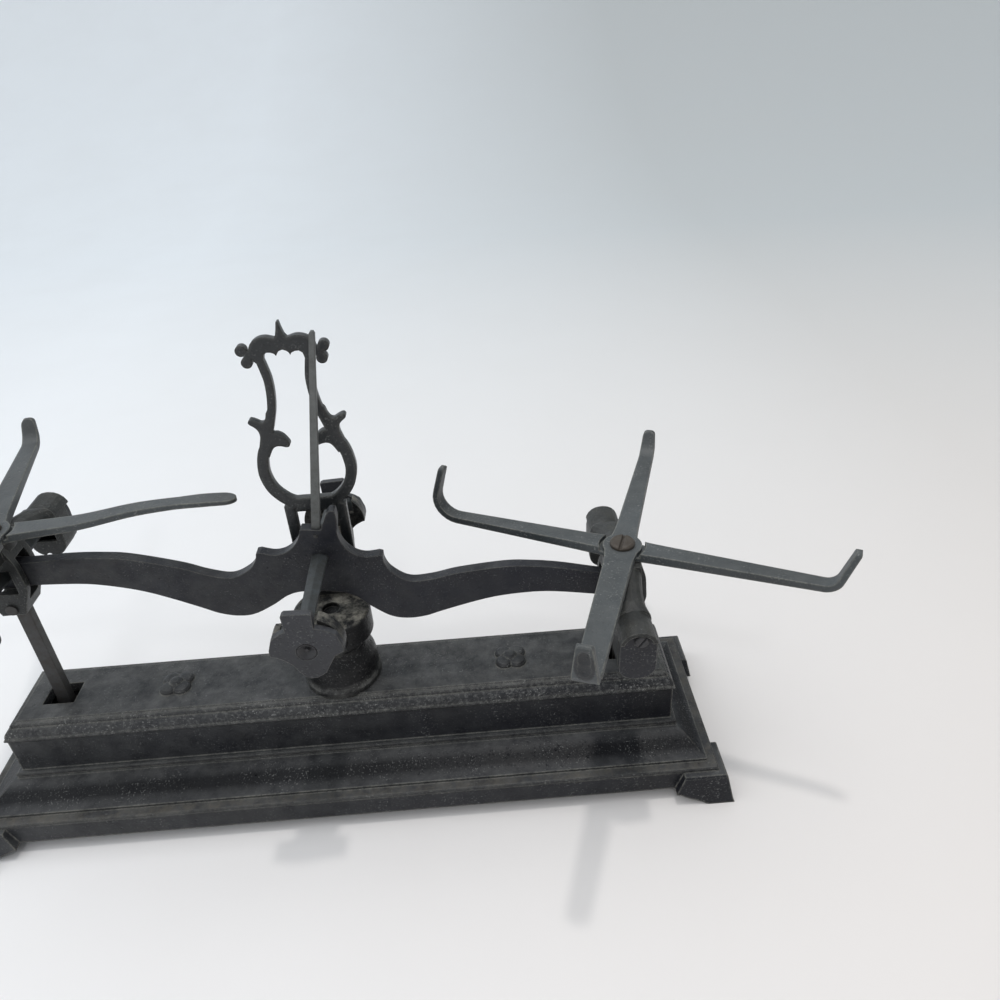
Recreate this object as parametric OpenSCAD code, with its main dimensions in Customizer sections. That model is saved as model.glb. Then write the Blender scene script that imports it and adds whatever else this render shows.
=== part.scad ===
// Counter balance of the Roberval kind: a cast beam on knife edges carries two upright
// supports with pan crosses, and a stay hidden in the hollow base keeps them upright.
// Millimetres. X runs along the base, Y away from the viewer, Z up from the table.

/* [Pose] */
// How far the beam dips to the right, in degrees
beam_tilt = 6.8; // [-6.8:0.1:6.8]
// Turn of the right cross's lower bar about its screw, in degrees
right_cross_turn = -25.5; // [-90:0.5:90]
// Turn of the left cross's lower bar about its screw, in degrees
left_cross_turn = 6; // [-90:0.5:90]

/* [Base casting] */
// How far the feet reach beyond the end knives
base_overhang = 44.7; // [40:0.1:60]
// Width over the feet
base_wid = 102.4; // [96:0.2:125]
// How far the feet spread beyond the skirt at the table
foot_flare = 5.8; // [2:0.1:7]
// Height of the skirt above the table
foot_height = 6.1; // [4:0.1:9]
// Length of each foot along the base at the table
foot_len = 13; // [9:0.5:20]
// Length of each foot at its top
foot_top_len = 27; // [22:0.5:40]
// How far each foot stands out from the skirt at its top
foot_relief = 2.5; // [1.5:0.1:3.5]
// Height of the plain skirt
skirt_height = 9.4; // [7:0.1:12]
// Width of the flat ledge above the skirt
ledge_wid = 4.6; // [3:0.1:6]
// Height of the long curved moulding
ogee_height = 9; // [7:0.1:14]
// Height of the upright frieze
frieze_height = 20.1; // [16:0.1:26]
// Height of the rounded band under the top panel
band_height = 8.4; // [6:0.1:10]
// How far the band stands out from the top panel
band_out = 4.6; // [3:0.1:6]
// Run of the mouldings from panel to skirt at the ends
run_end = 22.1; // [18:0.1:28]
// Run of the mouldings from panel to skirt at the sides
run_side = 28.9; // [24:0.1:34]
// Thickness of the top of the casting
top_wall = 5; // [4:0.1:6]
// Thickness of the side walls
side_wall = 4; // [3:0.1:5]
// Length of each rod opening
slot_len = 14.5; // [12:0.5:18]
// Width of each rod opening
slot_wid = 13; // [10:0.5:18]
// Distance of each raised ornament from the middle
ornament_place = 79.5; // [50:0.5:95]
// Width over each raised ornament
ornament_wid = 17; // [10:0.5:22]
// Height of each raised ornament
ornament_rise = 2.2; // [0.8:0.1:3]

/* [Column] */
// Radius of the column's foot
column_foot_r = 17.8; // [16:0.1:20]
// Radius of the column's neck
column_neck_r = 13.2; // [11:0.1:15]
// Radius of the cap that carries the fork
cap_r = 17.5; // [16.5:0.1:20]
// Height of the cap's rim above the base
cap_height = 26; // [23:0.5:32]
// Thickness of the cap
cap_thick = 13; // [8:0.5:14]
// Width of the fork arms
fork_wid = 16; // [12:0.5:18]
// Thickness of the fork arms
fork_thick = 8; // [6:0.5:9]
// Height of the centre knife's edge above the base
knife_height = 64.5; // [62:0.5:72]
// Distance of the centre covers' faces from the beam's middle
cup_reach = 50; // [46:0.5:56]
// Outer radius of a centre housing's hood
cup_r = 14.4; // [13.8:0.1:16]
// Wall of a centre housing
cup_wall = 2; // [1.6:0.1:2.4]
// Depth of a centre housing
cup_depth = 8.5; // [8:0.5:13]
// Thickness of a centre housing's back wall
cup_back = 2; // [1.5:0.1:3]
// Depth of the hood's middle below the centre edge
cup_drop = 6; // [3:0.1:7]
// Depth of a centre housing's foot below the hood's middle
cup_foot = 13.8; // [12:0.1:18]
// Thickness of all covers
cover_thick = 3; // [2:0.1:4]
// Width of a centre cover's tab
tab_wid = 11.6; // [10:0.1:13]
// Height of a centre cover's tab above the centre edge
tab_height = 13; // [9:0.1:14]
// How far the tab stands off to the side
tab_shift = 1; // [0:0.1:2]

/* [Beam] */
// Distance from the centre knife to each end knife
beam_arm = 133.3; // [128:0.1:136]
// Drop of the end knives below the centre knife
end_drop = 4; // [2:0.1:5]
// Thickness of the beam casting
beam_thick = 5; // [4:0.1:6]
// Height of the beam's tongue above the centre edge
tongue_height = 18.7; // [16:0.1:22]
// Half width of the tongue
tongue_half = 7.7; // [6.5:0.1:8.5]
// Height of the lug beside the needle above the tongue
lug_height = 9.7; // [7:0.1:12]
// Radius of the rounded beam ends
beam_end_r = 7; // [6.5:0.1:7.5]
// Width and height of a knife bar
knife_bar = 7; // [6:0.1:7.5]
// Width of a knife bar's ends as a share of its middle
knife_taper = 0.8; // [0.7:0.05:1]
// Half angle of a knife edge, in degrees
knife_angle = 40; // [35:1:45]
// Half angle of the grooves that the knives rock in, in degrees
groove_angle = 60; // [56:1:66]
// Gap between a knife's end and its cover
knife_end_gap = 0.4; // [0.2:0.1:1]

/* [Needle and lyre] */
// Height of the needle's tip above the centre edge
needle_height = 105.6; // [98:0.2:112]
// Depth of the needle's tang in the beam
tang_depth = 6; // [4:0.1:7]
// How far the needle's foot stands off to the left
needle_shift = 1.8; // [0:0.1:2.5]
// Width of the needle at its foot
needle_wide = 3.7; // [3:0.1:4.5]
// Width of the needle at its tip
needle_narrow = 2.2; // [1.5:0.1:3]
// Thickness of the needle
needle_thick = 1.9; // [1.4:0.1:2.4]
// Lean of the needle on the beam, in degrees
needle_lean = 2.2; // [-2:0.1:3]
// Distance of the lyre behind the beam's middle
lyre_back = 11.6; // [10:0.1:13]
// Thickness of the lyre casting
lyre_thick = 3.2; // [2.6:0.1:4]
// Height of the lyre's lower bar above the top of the cap
lyre_bar_height = 49; // [46:0.5:54]
// Width of the lyre's legs
lyre_leg_wid = 4.4; // [3.5:0.1:5]
// Distance of each leg from the middle
lyre_leg_place = 11; // [10:0.1:13]

/* [Pan supports] */
// Distance of the end covers' faces from the beam's middle
end_reach = 46; // [42:0.5:50]
// Width of a support's housings and straps
support_wid = 15.8; // [15:0.1:19]
// Height of the seat for the cross above the end edge
seat_height = 12.8; // [12:0.1:16]
// Width of the straps where they are slender
strap_wid = 9; // [8:0.1:12]
// Depth of an end cover below the end edge
shield_drop = 18.8; // [16:0.1:22]
// Height of a housing's top above the end edge
hood_height = 7; // [6.4:0.1:7.5]
// Depth of an end housing from its cover inwards
housing_depth = 9; // [7:0.5:11]
// Wall of an end housing
housing_wall = 1.8; // [1.6:0.1:2.2]
// How far the housings sit inboard of the knife
housing_shift = 1.4; // [0:0.1:1.4]
// Width of the plates that straddle the beam
plate_wid = 20; // [18:0.5:22]
// Thickness of the plates that straddle the beam
plate_thick = 3; // [2.4:0.1:4]
// Gap between the beam and each plate
plate_gap = 1.6; // [1:0.1:2.2]
// Width of the rod under a support
rod_wid = 6; // [5:0.1:7]
// Thickness of the rod
rod_thick = 4; // [3:0.1:5]

/* [Pan crosses] */
// Length of a bar from the screw to its bend
bar_reach = 88; // [80:0.5:92]
// Thickness of the bars
bar_thick = 4.2; // [3.6:0.1:5]
// Width of the upper bar beside the hub
upper_wide = 12.6; // [10:0.1:13]
// Width of the upper bar's slender arm at the hub
back_wide = 10.4; // [9:0.1:12]
// Width of the upper bar's broad arm at the bend
upper_narrow = 10.2; // [8:0.1:11]
// Width of the lower bar beside the hub
lower_wide = 9.6; // [8:0.1:11]
// Width of the other arms at the bend
lower_narrow = 6.2; // [5.5:0.1:8]
// Angle from the lower bar to the upper bar, in degrees
bar_angle = 96.2; // [88:0.1:100]
// Radius of the lapped hubs
hub_r = 8.6; // [7:0.1:9]
// Inner radius of the sharper bends below the tips
bend_r = 5; // [3:0.5:8]
// Inner radius of the slow bend on the lower bar's other arm
slow_bend_r = 9; // [7:0.5:12]
// Thickness of an arm where it bends
arm_thin = 3.1; // [2.6:0.1:4]
// Thickness of a tip at its end
tip_thick = 2.6; // [2:0.1:3.4]
// Width of the slender tips at their ends
tip_wid = 4.6; // [3.6:0.1:6]
// Width of the broad tip where it bends
paddle_wid = 9.8; // [9:0.1:13]
// How far the left cross's opened arm bows upwards
bow_rise = 5; // [3:0.5:8]
// Gap between the two halves of the lap
lap_gap = 0.02; // [0.01:0.01:0.1]

/* [Stay] */
// Depth of the stay's pivot below the top panel
stay_depth = 23; // [22:0.1:24]
// Height of the stay's bar
stay_tall = 7; // [5:0.5:8]
// Width of the stay
stay_wid = 10.6; // [9:0.1:11.5]
// Radius of the stay's end eyes
stay_eye_r = 4.2; // [3.8:0.1:4.4]

/* [Screws, pins and fits] */
// Radius of the bolt through the base
bolt_r = 4; // [3:0.1:5]
// Radius of a cross screw's shank
cross_screw_r = 2.4; // [2:0.1:3]
// Radius of a cross screw's head
cross_head_r = 5.5; // [4.5:0.1:6]
// Radius of a cover screw's shank
cover_screw_r = 1.2; // [1:0.1:1.3]
// Radius of an end cover screw's head
cover_head_r = 2.9; // [2.5:0.1:3.2]
// Radius of the dished head of a centre cover's screw
dish_r = 4.3; // [3:0.1:4.5]
// Radius of the stay's centre pin
stay_pin_r = 2.5; // [2:0.1:3]
// Radius of the pins at the ends of the stay
rod_pin_r = 1.6; // [1.2:0.1:1.8]
// Running clearance on the radius of a pivot
run_fit = 0.06; // [0.03:0.01:0.1]
// Clearance on the radius of the loose pins that join the rods to the stay
loose_fit = 0.3; // [0.2:0.05:0.5]
// Clearance between faces that slide past each other
side_fit = 0.3; // [0.2:0.05:0.5]
// Gap under a knife edge and under a swivelling bar
edge_fit = 0.03; // [0.01:0.01:0.08]

/* [Hidden] */
$fn = 64;

iron_black = [0.10, 0.10, 0.12];
iron_dark = [0.14, 0.14, 0.16];
iron_grey = [0.28, 0.30, 0.31];
iron_olive = [0.23, 0.23, 0.21];
screw_brown = [0.33, 0.29, 0.26];
steel = [0.45, 0.45, 0.46];

// Places worked out from the sizes above
through = 200;
curve_steps = 6;
base_half = beam_arm + base_overhang;
side_half = base_wid / 2;
skirt_top = foot_height + skirt_height;
frieze_bottom = skirt_top + ogee_height;
frieze_top = frieze_bottom + frieze_height;
base_top = frieze_top + band_height;
panel_half_len = base_half - foot_flare - run_end;
panel_half_wid = side_half - foot_flare - run_side;
ceiling = base_top - top_wall;

edge_z = base_top + knife_height;
cup_z = edge_z - cup_drop;
cap_rim = base_top + cap_height;
cap_top = cap_rim + cap_thick;
stay_z = base_top - stay_depth;
rod_drop = edge_z - stay_z;

end_x = beam_arm * cos(beam_tilt) - end_drop * sin(beam_tilt);
end_z = edge_z - beam_arm * sin(beam_tilt) - end_drop * cos(beam_tilt);
left_end_x = -beam_arm * cos(beam_tilt) - end_drop * sin(beam_tilt);
left_end_z = edge_z + beam_arm * sin(beam_tilt) - end_drop * cos(beam_tilt);

knife_half = knife_bar / 2;
knife_point = knife_half / tan(knife_angle);
centre_knife_half = cup_reach - cover_thick - knife_end_gap;
end_knife_half = end_reach - cover_thick - knife_end_gap;

echo(edge_z = edge_z, stay_z = stay_z, right_end = [end_x, end_z], left_end = [left_end_x, left_end_z]);
echo(seat_right = end_z + seat_height, seat_left = left_end_z + seat_height, rod_drop = rod_drop);

// Curves
function arc(cx, cy, rx, ry, from, to, steps) =
    [for (i = [0:steps]) let (a = from + (to - from) * i / steps) [cx + rx * cos(a), cy + ry * sin(a)]];

function spline_at(a, b, c, d, t) =
    0.5 * (2 * b + (c - a) * t + (2 * a - 5 * b + 4 * c - d) * t * t + (3 * b - a - 3 * c + d) * t * t * t);

// A smooth curve through the points, without its last point
function smooth(p, steps = curve_steps) =
    let (last = len(p) - 1)
    [for (k = [0:last - 1], i = [0:steps - 1])
        spline_at(p[max(k - 1, 0)], p[k], p[k + 1], p[min(k + 2, last)], i / steps)];

function backwards(p) = [for (i = [len(p) - 1:-1:0]) p[i]];

function mirrored(p) = [for (i = [len(p) - 1:-1:0]) [-p[i][0], p[i][1]]];

function unit(v) = v / norm(v);

function side_of(p, i) =
    let (t = unit(p[min(i + 1, len(p) - 1)] - p[max(i - 1, 0)])) [-t[1], t[0]];

// Outline of a band that follows a curve and changes its width evenly from one end to the other
function band(p, w0, w1) =
    let (n = len(p) - 1, half = [for (i = [0:n]) (w0 + (w1 - w0) * i / n) / 2])
    concat([for (i = [0:n]) p[i] + side_of(p, i) * half[i]],
           [for (i = [n:-1:0]) p[i] - side_of(p, i) * half[i]]);

// Extrudes a drawing in X and Z along Y, between two places on Y
module across(from, to) {
    translate([0, to, 0]) rotate([90, 0, 0]) linear_extrude(to - from) children();
}

// Extrudes a drawing in Y and Z along X, the same distance each way
module along(half) {
    rotate([90, 0, 90]) translate([0, 0, -half]) linear_extrude(2 * half) children();
}

module pin_across(r, from, to) {
    translate([0, from, 0]) rotate([-90, 0, 0]) cylinder(r = r, h = to - from);
}

module at_beam() {
    translate([0, 0, edge_z]) rotate([0, beam_tilt, 0]) children();
}

module at_right_end() {
    translate([end_x, 0, end_z]) children();
}

// The left end mirrors the right one, so that inboard stays inboard
module at_left_end() {
    translate([left_end_x, 0, left_end_z]) mirror([1, 0, 0]) children();
}

// Base casting

// Half of the base's section, from the middle of the panel out and down to the skirt
function base_section(panel, run) =
    let (skirt = panel + run,
         nose = panel + band_out,
         frieze = nose - 0.9,
         bead = 1.2,
         groove = 0.6,
         batter = 0.9,
         ledge = skirt - batter - ledge_wid,
         top = frieze_bottom - bead - 0.7,
         fall = top - skirt_top - 2.6)
    concat(
        [[0, base_top], [panel - 1.2, base_top], [panel - 0.6, base_top - groove],
         [panel, base_top - groove]],
        arc(panel + 0.4, base_top - 1.5, 0.9, 0.9, 115, 20, 4),
        arc(panel + 0.8, frieze_top + 2, nose - panel - 1.4, band_height - 4.4, 80, 0, 6),
        arc(nose - 1, frieze_top + 1, 1, 1, 60, -70, 5),
        [[frieze, frieze_top - 0.6], [frieze, frieze_bottom + bead]],
        arc(frieze + bead, frieze_bottom, bead, bead, 110, -60, 5),
        [[frieze + 2 * bead, top]],
        [for (i = [0:12]) let (k = i / 12, drop = (1 - cos(180 * k)) / 2)
            [frieze + 2.6 * bead + (ledge - frieze - 2.6 * bead) * k, top - fall * (0.3 * k + 0.7 * drop)]],
        [[ledge, skirt_top + 1.2]],
        arc(skirt - batter - 1, skirt_top + 0.1, 1, 1, 75, -40, 4),
        [[skirt - batter, skirt_top - 1.2], [skirt, foot_height]]);

// The hollow under the casting
function hollow_section(panel, run) =
    let (inner = panel + band_out - 0.8 - side_wall, low = panel + run - side_wall)
    [[0, ceiling], [inner, ceiling], [inner, frieze_bottom - 5.5], [low, skirt_top - 3], [low, -1]];

module full_section(half) {
    last = half[len(half) - 1];
    polygon(concat(half, [[0, last[1]]], mirrored(half)));
}

module mitred(end_section, side_section) {
    intersection() {
        across(-through, through) full_section(end_section);
        along(2 * through) full_section(side_section);
    }
}

// One foot's outline seen square on: a bracket with a slanting side that runs out in a low curve
function bracket(outer) =
    concat(
        [[outer + 1, -1], [outer + 1, skirt_top - 0.6], [outer - foot_top_len + 4, skirt_top - 0.6],
         [outer - foot_top_len, foot_height]],
        smooth([[outer - foot_top_len + 2, foot_height - 0.4], [outer - foot_len - 8, foot_height * 0.62],
                [outer - foot_len - 3, foot_height * 0.3], [outer - foot_len, 0.3]], 4),
        [[outer - foot_len + 1, 0], [outer - foot_len + 1, -1]]);

module bracket_pair(outer) {
    polygon(bracket(outer));
    polygon(mirrored(bracket(outer)));
}

function flare(outer) =
    let (skirt = outer - foot_flare)
    [[0, skirt_top - 0.6], [skirt + foot_relief - 0.8, skirt_top - 0.6],
     [skirt + foot_relief, skirt_top - 1.6], [outer - 0.7, 1.6], [outer - 0.2, 0.5], [outer - 0.2, 0]];

module feet() {
    foot_wall = side_wall + foot_flare;
    difference() {
        intersection() {
            mitred(flare(base_half), flare(side_half));
            across(-through, through) bracket_pair(base_half);
            along(2 * through) bracket_pair(side_half);
        }
        translate([-base_half + foot_wall, -side_half + foot_wall, -1])
            cube([2 * (base_half - foot_wall), base_wid - 2 * foot_wall, skirt_top + 1]);
    }
}

// A low dome that sinks a little into the face it stands on
module dome(r, h) {
    rotate_extrude() polygon([[0, -0.6], [r, -0.6], [r, h * 0.2], [r * 0.92, h * 0.55], [r * 0.72, h * 0.84],
                              [r * 0.4, h], [0, h]]);
}

// A plain four-lobed ornament with a boss
module ornament() {
    lobe = ornament_wid / 4;
    for (a = [0:90:270]) rotate(a) translate([ornament_wid / 2 - lobe, 0, 0]) dome(lobe, ornament_rise);
    dome(lobe * 0.9, ornament_rise + 0.9);
}

module rod_opening(x) {
    translate([x - slot_len / 2, -slot_wid / 2, ceiling - 1]) cube([slot_len, slot_wid, top_wall + 2]);
}

module base_casting() color(iron_black) {
    difference() {
        mitred(base_section(panel_half_len, run_end), base_section(panel_half_wid, run_side));
        mitred(hollow_section(panel_half_len, run_end), hollow_section(panel_half_wid, run_side));
        translate([0, 0, ceiling - 1]) cylinder(r = bolt_r, h = top_wall + 2);
        for (side = [-1, 1]) rod_opening(side * beam_arm);
    }
    feet();
    for (side = [-1, 1]) translate([side * ornament_place, 0, base_top]) rotate(45) ornament();
}

// Column

// Outline of the turned column, from its foot to the top of the cap
function column_outline() =
    concat(
        [[bolt_r, base_top], [column_foot_r, base_top], [column_foot_r, base_top + 2.5]],
        smooth([[column_foot_r - 0.6, base_top + 4.5], [column_foot_r - 1.3, base_top + 13],
                [column_neck_r + 0.8, base_top + cap_height * 0.7], [column_neck_r, cap_rim - 4]], 5),
        [[cap_r - 1.2, cap_rim - 0.4], [cap_r, cap_rim + 0.6], [cap_r, cap_rim + cap_thick * 0.5]],
        arc(cap_r - 1.6, cap_top - 1.6, 1.6, 1.6, 0, 90, 5),
        [[bolt_r, cap_top]]);

// The two arms of the fork, seen from the end: a thick half ellipse that joins the cups
module fork_drawing() {
    reach = cup_reach - cup_depth + 0.5 - fork_thick / 2;
    rise = cup_z - 3 - cap_rim - cap_thick / 2;
    top = cup_z - 3;
    polygon(concat(
        arc(0, top, reach + fork_thick / 2, rise + fork_thick / 2, 180, 360, 24),
        arc(0, top, reach - fork_thick / 2, rise - fork_thick / 2, 360, 180, 24)));
}

// A centre housing seen square on, about the middle of its hood: round above, drawn in to a narrow foot
module centre_shape(grow) {
    r = cup_r + grow;
    foot = cup_foot + grow;
    polygon(concat(
        arc(0, 0, r, r, -4, 184, 28),
        [for (p = [[-0.9, -0.1], [-0.69, -0.22], [-0.47, -0.43], [-0.33, -0.7], [-0.2, -0.89], [-0.06, -1],
                   [0.13, -0.99], [0.29, -0.9], [0.42, -0.81], [0.58, -0.49], [0.73, -0.22], [0.9, -0.12]])
            [p[0] * r, p[1] * foot]]));
}

// Turns what lies in front of the beam to the rear as well
module front_and_rear() {
    children();
    rotate(180) children();
}

module centre_housing() {
    back = -cup_reach + cup_depth;
    side_gap = 2.8;
    translate([0, 0, cup_z]) difference() {
        across(-cup_reach + cover_thick, back) centre_shape(0);
        across(-cup_reach - 2, back - cup_back) centre_shape(-cup_wall);
        pin_across(cover_screw_r, -cup_reach, back + 1);
        translate([-tab_shift - tab_wid / 2 - side_gap, -cup_reach - 2, cup_drop - 2])
            cube([tab_wid + side_gap + 0.8, cup_depth + 3, cup_r]);
    }
}

module column() color(iron_dark) {
    difference() {
        union() {
            rotate_extrude() polygon(column_outline());
            intersection() {
                along(fork_wid / 2) fork_drawing();
                translate([-through, -through, cap_rim + 1]) cube([2 * through, 2 * through, through]);
            }
        }
        translate([0, 0, base_top - 1]) cylinder(r = bolt_r, h = cap_height - 8);
        translate([-lyre_foot_half - 0.2, lyre_back - lyre_thick / 2 - 0.2, cap_top])
            cube([2 * lyre_foot_half + 0.4, lyre_thick + 0.4, 10]);
        front_and_rear() {
            translate([0, 0, cup_z]) across(-through, -cup_reach + cup_depth - cup_back)
                centre_shape(-cup_wall);
            across(-through, -cup_reach + cup_depth) translate([-through, cup_z]) square(2 * through);
        }
        for (side = [-1, 1]) translate([side * lyre_screw_place, lyre_back, cap_top - 8])
            cylinder(r = cover_screw_r, h = 12);
    }
    difference() {
        front_and_rear() centre_housing();
        // the front housing's left side is lower than its right one
        translate([-cup_r - 1, -cup_reach - 1, cup_z + cup_drop + 2.4]) cube([cup_r, cup_depth + 2, cup_r]);
    }
}

module column_bolt() color(steel) {
    head_r = bolt_r * 1.6;
    plate = 3;
    translate([0, 0, ceiling - plate - 4]) cylinder(r = head_r, h = 4, $fn = 6);
    translate([0, 0, ceiling - plate - 1]) cylinder(r = bolt_r, h = top_wall + plate + cap_height - 9 + 1);
}

// Lyre that frames the needle's swing

// Places on the right half of the lyre, measured from the middle of its lower bar
lobe_path = [[5, 0.2], [11, 3.2], [15.9, 8.8], [18, 15.6], [17.7, 21.8], [16.3, 27], [14, 31]];
stem_path = [[10.6, 41], [9.2, 46], [8.3, 52], [8.1, 58], [8.7, 62.5], [9.6, 67]];
barbs = [[18.4, 26], [17, 31], [16.1, 34.5], [16.5, 37.1], [17.8, 38.8], [19.2, 39.9], [19.7, 40.9],
         [19.1, 41.9], [18, 41.9], [16.3, 41.1], [14.7, 40.2], [13.3, 40.7], [12.3, 42.6], [11.2, 45.4],
         [8.2, 44.8], [9, 41],
         [10, 37.6], [10.7, 35.4], [9.2, 35.2], [7.2, 34], [5.7, 32], [4.9, 30.2], [5.2, 29.1], [6.3, 28.7],
         [8.4, 29.3], [10.4, 29.4], [12.2, 28.2], [14.2, 24.6]];
crest_low = [[-1, 70.5], [0, 70.7], [1.4, 70.2], [2.3, 69.4], [2.75, 68.3], [3.3, 69.2], [4.6, 69.8],
             [6.2, 69.9], [7.5, 69], [8.2, 66]];
crest_top = [[11.2, 66], [12.6, 68.4], [12.9, 70.6], [12.2, 73], [10.6, 74.8], [8.2, 75.9], [5.6, 76.1],
             [3.4, 75.5], [2.4, 75.2]];
thorn = [[-1, 74], [2.9, 74], [2.4, 75.2], [1.5, 76.6], [0.9, 78.8], [0.35, 81.6], [-0.2, 81.6]];

module lyre_half() {
    polygon(band(smooth(lobe_path), 4.8, 4.4));
    polygon(band(concat(smooth(stem_path), [stem_path[5]]), 3.2, 3));
    polygon(concat(smooth(barbs, 3), [barbs[len(barbs) - 1]]));
    polygon(concat(crest_low, smooth(crest_top, 3), [crest_top[8], [-1, 75]]));
    polygon(thorn);
    for (p = [[15.8, 71.1, 2.2], [14.5, 66.2, 2.2], [13.2, 68.9, 1.8]])
        translate([p[0], p[1]]) circle(r = p[2]);
}

module lyre_drawing() {
    bar = 6.6;
    bar_rise = 0.5;
    foot_top = 4 - lyre_bar_height;
    for (side = [0, 1]) mirror([side, 0]) {
        lyre_half();
        translate([lyre_leg_place - lyre_leg_wid / 2, foot_top - 1])
            square([lyre_leg_wid, lyre_bar_height - 3]);
    }
    translate([-8, bar_rise - bar / 2]) square([16, bar]);
}

lyre_foot_half = lyre_leg_place + lyre_leg_wid / 2;
lyre_screw_place = lyre_leg_place * 0.62;

module lyre() color(iron_dark) {
    translate([0, lyre_back, cap_top]) {
        difference() {
            union() {
                translate([0, 0, lyre_bar_height]) across(-lyre_thick / 2, lyre_thick / 2) lyre_drawing();
                translate([-lyre_foot_half, -lyre_thick / 2, 0]) cube([2 * lyre_foot_half, lyre_thick, 4]);
            }
            for (side = [-1, 1]) translate([side * lyre_screw_place, 0, -1])
                cylinder(r = cover_screw_r, h = 8);
        }
    }
}

module lyre_screws() color(screw_brown) {
    for (side = [-1, 1]) translate([side * lyre_screw_place, lyre_back, 0]) {
        translate([0, 0, cap_top - 7]) cylinder(r = cover_screw_r, h = 12);
        translate([0, 0, cap_top + 4]) slotted_head(1.8, 1.2, 0.6);
    }
}

// A round screw head on the plane below it, with a slot across its top
module slotted_head(r, h, slot) {
    difference() {
        rotate_extrude() polygon([[0, 0], [r, 0], [r, h * 0.6], [r * 0.86, h], [0, h]]);
        translate([-r - 1, -slot / 2, h * 0.5]) cube([2 * r + 2, slot, h]);
    }
}

// Centre bearings and covers

module centre_bearing() {
    depth = cup_depth - cup_back - cover_thick;
    groove = 6;
    fall = groove / tan(groove_angle);
    translate([0, -cup_reach + cover_thick, cup_z]) across(0, depth) difference() {
        intersection() {
            centre_shape(-cup_wall - 0.05);
            translate([-cup_r, -cup_r - cup_foot]) square([2 * cup_r, cup_r + cup_foot + cup_drop + fall]);
        }
        translate([0, cup_drop - edge_fit])
            polygon([[0, 0], [groove, fall], [groove, 9], [-groove, 9], [-groove, fall]]);
        circle(r = cover_screw_r);
    }
}

module centre_bearing_front() color(steel) centre_bearing();

module centre_bearing_rear() color(steel) rotate(180) centre_bearing();

// Covers the housing, with sloping shoulders below the hood's rim and a tab that stands before the knife
module centre_cover() {
    tab_top = cup_drop + tab_height;
    shoulder = [[0.99, 0.1], [0.86, 0.5], [0.7, 0.62], [0.5, 0.72], [0.3, 0.78]];
    across(-cup_reach, -cup_reach + cover_thick) translate([0, cup_z]) difference() {
        union() {
            intersection() {
                centre_shape(0);
                polygon(concat([[-2 * cup_r, -2 * cup_r], [2 * cup_r, -2 * cup_r], [2 * cup_r, 0]],
                    [for (p = shoulder) p * (cup_r + 0.2)], mirrored([for (p = shoulder) p * (cup_r + 0.2)]),
                    [[-2 * cup_r, 0]]));
            }
            translate([-tab_shift - tab_wid / 2, 0])
                polygon([[0.6, 0], [tab_wid - 0.6, 0], [tab_wid, tab_top - 1],
                         [tab_wid - 1.4, tab_top - 0.4], [1, tab_top], [0, tab_top - 0.8]]);
        }
        circle(r = cover_screw_r);
    }
}

module centre_cover_front() color(iron_grey) dished() centre_cover();

module centre_cover_rear() color(iron_grey) rotate(180) dished() centre_cover();

// Countersinks a cover for its screw
module dished() {
    difference() {
        children();
        translate([0, -cup_reach - 0.01, cup_z]) rotate([-90, 0, 0])
            cylinder(r1 = dish_r, r2 = cover_screw_r, h = cover_thick - 0.3);
    }
}

// Countersunk screws, each with a dished head that a riveted end stands up in
module centre_cover_screws() color(screw_brown) {
    length = cup_depth - 1;
    front_and_rear() translate([0, -cup_reach, cup_z]) rotate([-90, 0, 0]) {
        difference() {
            union() {
                cylinder(r = cover_screw_r, h = length);
                translate([0, 0, 0.1]) cylinder(r1 = dish_r - 0.3, r2 = cover_screw_r, h = cover_thick - 0.5);
            }
            translate([0, 0, -0.1]) cylinder(r1 = dish_r - 0.4, r2 = 0.9, h = cover_thick - 0.8);
        }
        translate([0, 0, 1]) cylinder(r = 0.8, h = 1.8);
    }
}

// Beam

// Right half of the beam's outline, from the tongue over the arm and back to the middle
function beam_outline() =
    let (cy = -end_drop - knife_half)
    concat(
        [[0, tongue_height], [tongue_half - 0.5, tongue_height]],
        smooth([[tongue_half, tongue_height - 0.6], [8.4, 14.8], [9.9, 11.4], [12.4, 8.3], [15.8, 6],
                [20, 5.2], [25.8, 6.4]]),
        smooth([[26.8, 5.8], [27.5, 2], [30.6, -2.8], [38.4, -7.4], [48.5, -6.1], [60, -2.5], [80, 1.4],
                [92, 1.9], [105, 1.2], [beam_arm - 12, -1], [beam_arm - 4, cy + beam_end_r - 0.9]]),
        arc(beam_arm, cy, beam_end_r, beam_end_r, 100, -100, 16),
        smooth([[beam_arm - 4, cy - beam_end_r + 0.5], [beam_arm - 13, -12.8], [102, -11.8], [90, -12.7],
                [77, -15.2], [65, -19.2], [53, -24], [45.5, -27.1], [37.5, -28.4], [30, -27.1], [21.3, -21.6],
                [15.2, -16.6], [9, -14.2], [0, -13.6]]));

// The lug that stands on the tongue beside the needle
module lug_drawing() {
    top = tongue_height + lug_height;
    polygon(concat(
        [[tongue_half - 7, tongue_height - 1], [tongue_half, tongue_height - 1]],
        smooth([[tongue_half + 0.2, tongue_height + 1], [tongue_half + 0.1, tongue_height + 6],
                [tongue_half - 0.6, top - 0.5], [tongue_half - 2.2, top], [tongue_half - 3.6, top - 1],
                [tongue_half - 5, tongue_height + 5.4], [tongue_half - 6.4, tongue_height + 0.6]], 3),
        [[tongue_half - 6.4, tongue_height + 0.6]]));
}

// Section of a knife bar with its edge at the origin, pointing down, and a low ridge on top
module knife_drawing() {
    polygon([[0, 0], [knife_half, knife_point], [knife_half, knife_bar - 1.4], [0, knife_bar],
             [-knife_half, knife_bar - 1.4], [-knife_half, knife_point]]);
}

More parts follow.
